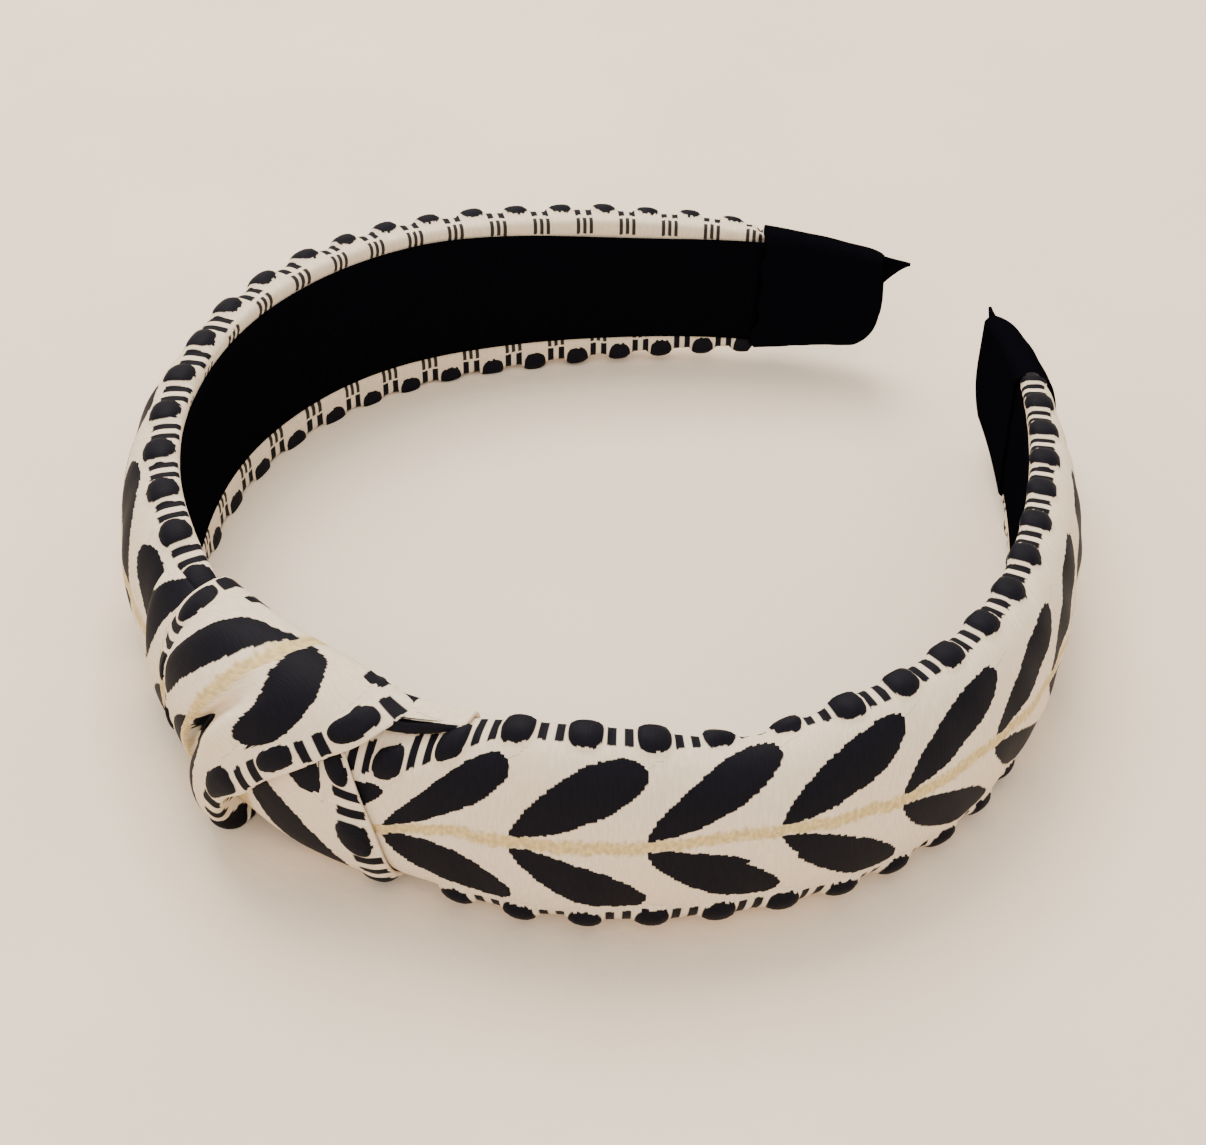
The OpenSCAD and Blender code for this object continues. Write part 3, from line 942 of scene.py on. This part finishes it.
UNDER_STRAND = [
    (-0.7, [(0, 12, 0.9, 6), (4, 12, 1.6, 1.5), (8, 12, 1.8, -1.0), (13, 12, 1.8, -6), (17, 11, 1.7, -11),
           (20, 10, 1.4, -15), (21.5, 9.4, 0.8, -18.4)]),
    (4, [(0, 6, 0.9, 6), (4, 6, 1.9, 1.5), (8, 6, 2.2, -1.0), (13.5, 6, 2.2, -6), (19, 5.8, 2.0, -11.5),
          (21.8, 5.3, 1.7, -15), (23.8, 4.8, 0.9, -18.4)]),
    (9.9, [(0, -1, 0.9, 6), (4, -1, 2.0, 2.0), (7.5, -1.2, 2.3, 0), (13.8, -1.4, 2.5, -6),
           (20, -1.4, 2.2, -11.5), (23.9, -1.4, 1.9, -15), (25.9, -1.5, 0.9, -18.4)]),
    (15.7, [(0.5, -8, 0.8, 6), (4, -8, 1.8, 2.4), (7.2, -8.4, 2.1, 0), (13.6, -8.8, 2.4, -6),
         (20.5, -9, 2.1, -11.5), (24.6, -9, 1.8, -15), (26.5, -9, 0.9, -18.4)]),
    (21.5, [(1, -16, 0.5, 6), (4, -16, 1.1, 2.4), (7.2, -16, 1.4, 0), (13.2, -16, 1.6, -6),
          (20, -16, 1.5, -11.5), (24.2, -16, 1.3, -15), (26.2, -16, 0.7, -18.4)]),
    (25, [(1, -20.5, 0.4, 6), (4, -20.5, 0.6, 2.4), (7.2, -20.5, 0.8, 0), (13.2, -20.5, 0.8, -6),
          (20, -20.5, 0.8, -11.5), (24, -20.5, 0.7, -15), (26, -20.5, 0.5, -18.4)]),
]
LEFT_GATHER = [
    (3, [(-16, 15, 0.5, 9.5), (-14, 15, 0.9, 7.5), (-8, 15, 1.0, 0.5), (-2, 15, 0.9, -5),
          (3, 15, 0.6, -11)]),
    (9, [(-15.5, 9, 0.7, 9.5), (-13.5, 9.5, 1.3, 7.5), (-8.5, 9.5, 1.5, 0.5), (-3, 9, 1.3, -5),
          (3, 9, 0.8, -11)]),
    (15, [(-14.6, 3.5, 0.8, 9.5), (-12.5, 4, 1.6, 7.5), (-8, 4, 1.9, 0.5), (-3.5, 3, 1.6, -5),
          (3, 3, 0.8, -11)]),
    (21, [(-13.8, -2.5, 0.8, 9.5), (-12, -2, 1.5, 7.5), (-8, -2.4, 1.9, 0.5), (-4, -3, 1.6, -5),
          (2, -3, 0.8, -11)]),
    (27, [(-13.2, -8.5, 0.8, 9.5), (-11.5, -8.5, 1.4, 7.5), (-7.5, -8.5, 1.6, 0.5), (-3.5, -9, 1.4, -5),
          (1.5, -9, 0.8, -11)]),
    (34, [(-13, -16, 0.5, 9.5), (-11.4, -16, 0.9, 7.5), (-7.4, -16, 1.1, 0.5), (-3.4, -16, 1, -5),
          (1.5, -16, 0.6, -11)]),
    (39, [(-13, -20.5, 0.4, 9.5), (-11.4, -20.5, 0.6, 7.5), (-7.4, -20.5, 0.7, 0.5),
          (-3.4, -20.5, 0.7, -5),
          (1.5, -20.5, 0.5, -11)]),
]
TOP_FOLD = [
    (-0.6, [(23.5, 13.6, 0.6, -18), (23.5, 14.2, 1.0, -15), (23.5, 15.0, 1.2, -12.4), (24, 20, 0.6, -8)]),
    (0.8, [(27, 14.2, 0.6, -18), (27.2, 14.8, 0.9, -15), (27.5, 15.5, 1.1, -12.4), (28, 20.5, 0.6, -8)]),
    (2.2, [(30, 15.3, 0.4, -17.6), (30.3, 15.7, 0.6, -15), (30.6, 16.3, 0.7, -12.4), (31, 21, 0.5, -8)]),
    (3.8, [(34.0, 16.8, 0.1, -17.2), (34.2, 17.1, 0.2, -15), (34.5, 17.5, 0.3, -12.4), (35, 21, 0.2, -8)]),
]


class HEADBAND_OT_knot(Operator):
    """Make the knot's four lengths of ribbon round the crown"""

    bl_idname = "headband.knot"
    bl_label = "Knot"

    def execute(self, context):
        sizes = context.scene.headband_sizes
        material = ribbon_material("Leaf Ribbon Right", sizes.leaf_pitch / MM)
        for name, net, node, flat, lead, rate in (
            ("over_wrap_ribbon", OVER_WRAP, "knot_over_wrap", (0.036, 0.040), 2.4, 1.08),
            ("under_strand_ribbon", UNDER_STRAND, "knot_under_strand", (0.030, 0.034), -8.3, 1.43),
            ("left_gather_ribbon", LEFT_GATHER, "knot_left_gather", (0.019, 0.036), 0.0, 1.0),
            ("top_fold_ribbon", TOP_FOLD, "knot_top_fold", (0.010, 0.013), 0.0, 1.0),
        ):
            self.ribbon(name, net, material, node, flat, lead, rate)
        return {"FINISHED"}

    def ribbon(self, name, net, material, node, flat, lead, rate):
        """One length of ribbon; its leaves lead the border along the ribbon, at their own rate."""
        rows, cols = 90, 80
        along = np.array([row[0] for row in net], float)
        count = len(net[0][1])
        values = np.array([[list(point) for point in row[1]] for row in net], float)
        if node == "knot_over_wrap":  # its lower edge rolls under
            under = values[:, -1:] * [1, 1, 0.35, 1] + [-0.7, 0.5, 0, -2.6]
            values, count = np.concatenate([values, under], 1), count + 1
        values = np.concatenate([values, np.repeat(along[:, None, None], count, 1)], 2)
        fine = spline(along, values, np.linspace(along[0], along[-1], rows))
        columns = np.arange(count, dtype=float)
        fine = spline(columns, fine.transpose(1, 0, 2), np.linspace(0, count - 1, cols)).transpose(1, 0, 2)
        s, w, lift, q, p = (fine[..., k] for k in range(5))
        p = p + smooth((12.9 - np.abs(q)) / 1.2) * (p * (rate - 1) + lead)
        sizes = bpy.context.scene.headband_sizes
        rise = dot_raise(p, q, sizes) * sizes.dot_height / MM * 0.6
        points, _ = girth_point(s, w, lift + rise)
        piece = grid_piece(
            name, points, material, np.stack([p, q], -1), facing=(0.0, -1.0, 0.0),
            wall=0.6,
        )
        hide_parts(node)
        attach(piece, "crown")


class HEADBAND_OT_stage(Operator):
    """Make the pale floor, the soft light and the camera"""

    bl_idname = "headband.stage"
    bl_label = "Floor, Light and Camera"

    def execute(self, context):
        self.make_camera(context.scene)
        self.make_floor(context.scene)
        self.make_lights(context.scene)
        return {"FINISHED"}

    def make_camera(self, scene):
        stage = scene.headband_stage
        data = bpy.data.cameras.new("Camera")
        data.lens, data.sensor_width = stage.lens, 36.0
        camera = bpy.data.objects.new("Camera", data)
        scene.collection.objects.link(camera)
        az, el, roll = stage.azimuth, stage.elevation, stage.roll
        look = Vector((-math.sin(az) * math.cos(el), math.cos(az) * math.cos(el), -math.sin(el)))
        camera.location = Vector((-0.003, 0.00198, 0)) - look * stage.distance
        turn = look.to_track_quat("-Z", "Y")
        camera.rotation_mode = "QUATERNION"
        camera.rotation_quaternion = turn @ Quaternion((0, 0, 1), roll)
        scene.camera = camera

    def make_floor(self, scene):
        bm = bmesh.new()
        bmesh.ops.create_grid(bm, x_segments=1, y_segments=1, size=3.0)
        material, tree, shader = new_material("Floor Cloth", 0.9)
        where = tree.nodes.new("ShaderNodeTexCoord").outputs["Object"]
        soft = node_noise(tree, where, 18.0, 4.0)
        fine = node_noise(tree, where, 420.0, 3.0)
        colour = scene.headband_colours.floor
        share = soft.edge(0.35, 0.7) * 0.6 + fine * 0.4
        tint = node_mix(tree, share, tinted(colour, 0.925), tuple(colour))
        tree.links.new(tint, shader.inputs["Base Color"])
        add_bump(tree, shader, fine.socket, 0.0006, 0.25)
        finish_mesh("floor", bm, material)

    def make_lights(self, scene):
        world = bpy.data.worlds.new("World")
        scene.world = world
        world.use_nodes = True
        back = world.node_tree.nodes["Background"]
        back.inputs["Color"].default_value = (1.0, 0.94, 0.86, 1)
        back.inputs["Strength"].default_value = 1.2
        for name, place, size, power in (
            ("Key", (-0.35, 0.15, 0.75), 0.55, 9.0),
            ("Fill", (0.5, -0.5, 0.8), 0.7, 3.5),
        ):
            data = bpy.data.lights.new(name, "AREA")
            data.size, data.energy = size, power
            data.color = (1.0, 0.93, 0.84)
            lamp = bpy.data.objects.new(name, data)
            lamp.location = place
            aim = Vector((0, 0, 0.01)) - Vector(place)
            lamp.rotation_mode = "QUATERNION"
            lamp.rotation_quaternion = aim.to_track_quat("-Z", "Y")
            scene.collection.objects.link(lamp)


class HEADBAND_PT_panel(Panel):
    """Lists the headband's operators and settings in the sidebar"""

    bl_idname = "HEADBAND_PT_panel"
    bl_label = "Knotted Headband"
    bl_space_type = "VIEW_3D"
    bl_region_type = "UI"
    bl_category = "Headband"

    def draw(self, context):
        for operator in OPERATORS:
            self.layout.operator(operator.bl_idname)
        for group in (context.scene.headband_sizes, context.scene.headband_colours,
                      context.scene.headband_stage):
            box = self.layout.box()
            for name in group.__annotations__:
                box.prop(group, name)


OPERATORS = (
    HEADBAND_OT_stage,
    HEADBAND_OT_cores,
    HEADBAND_OT_padding,
    HEADBAND_OT_covers,
    HEADBAND_OT_linings,
    HEADBAND_OT_caps,
    HEADBAND_OT_knot,
)
GROUPS = {
    "headband_sizes": HeadbandSizes,
    "headband_colours": HeadbandColours,
    "headband_stage": HeadbandStage,
}
CLASSES = (*GROUPS.values(), *OPERATORS, HEADBAND_PT_panel)


def register():
    for cls in CLASSES:
        bpy.utils.register_class(cls)
    for name, group in GROUPS.items():
        setattr(bpy.types.Scene, name, PointerProperty(type=group))


def unregister():
    for name in GROUPS:
        delattr(bpy.types.Scene, name)
    for cls in reversed(CLASSES):
        bpy.utils.unregister_class(cls)


def main():
    register()
    for operator in OPERATORS:
        family, name = operator.bl_idname.split(".")
        getattr(getattr(bpy.ops, family), name)()


if __name__ == "__main__":
    main()
